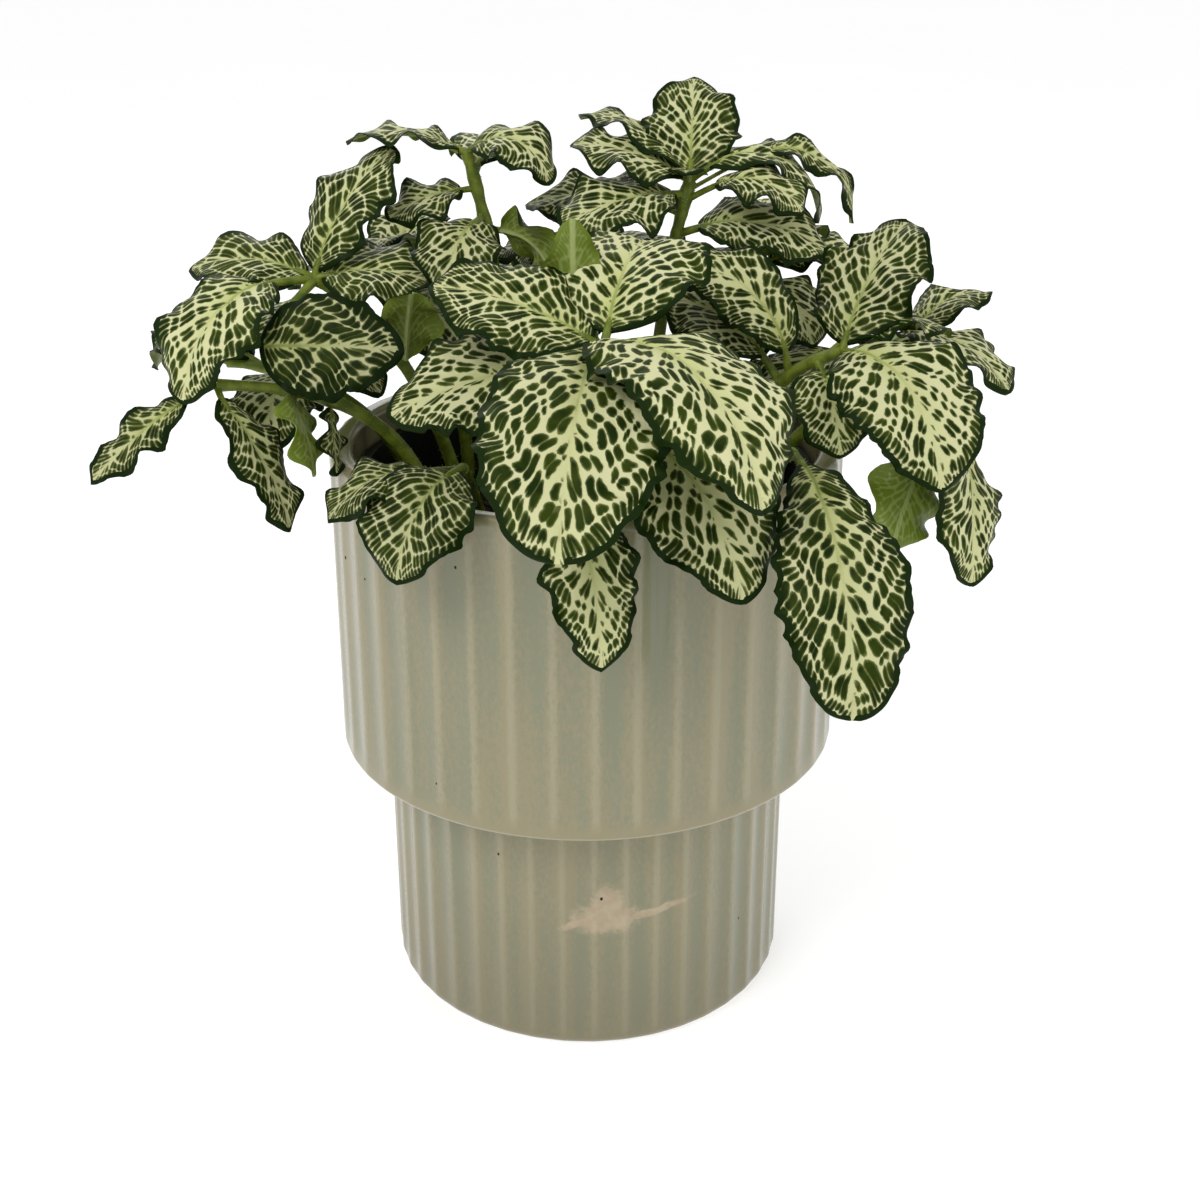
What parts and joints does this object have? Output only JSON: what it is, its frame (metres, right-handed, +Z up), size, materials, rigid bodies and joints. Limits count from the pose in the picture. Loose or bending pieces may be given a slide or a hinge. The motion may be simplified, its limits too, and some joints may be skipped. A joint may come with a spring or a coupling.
{
  "type": "potted nerve plant",
  "caption": "White-veined creeping houseplant with leafy stems, standing in soil in a nursery pot inside a fluted, two-tier glazed ceramic cover pot.",
  "frame": {"origin": "middle of the pot's underside, on the surface it stands on", "axes": "+Z up along the pot's axis, -Y towards the picture's viewer, +X to that viewer's right"},
  "size_m": [0.2389, 0.2182, 0.2478],
  "materials": {
    "glaze": "gloss",
    "nursery_plastic": "matte",
    "soil": "matte",
    "leaf": "satin"
  },
  "bodies": {
    "root": {"cover_pot": "glaze", "nursery_pot": "nursery_plastic", "soil": "soil", "shoot_front": "leaf", "shoot_front_right": "leaf", "shoot_right": "leaf", "shoot_far_right": "leaf", "shoot_top": "leaf", "shoot_top_left": "leaf", "shoot_left": "leaf", "shoot_far_left": "leaf", "shoot_front_left": "leaf", "shoot_middle": "leaf", "shoot_back_left": "leaf", "shoot_back": "leaf", "shoot_back_right": "leaf", "shoot_side_right": "leaf", "shoot_side_left": "leaf"}
  },
  "joints": []
}
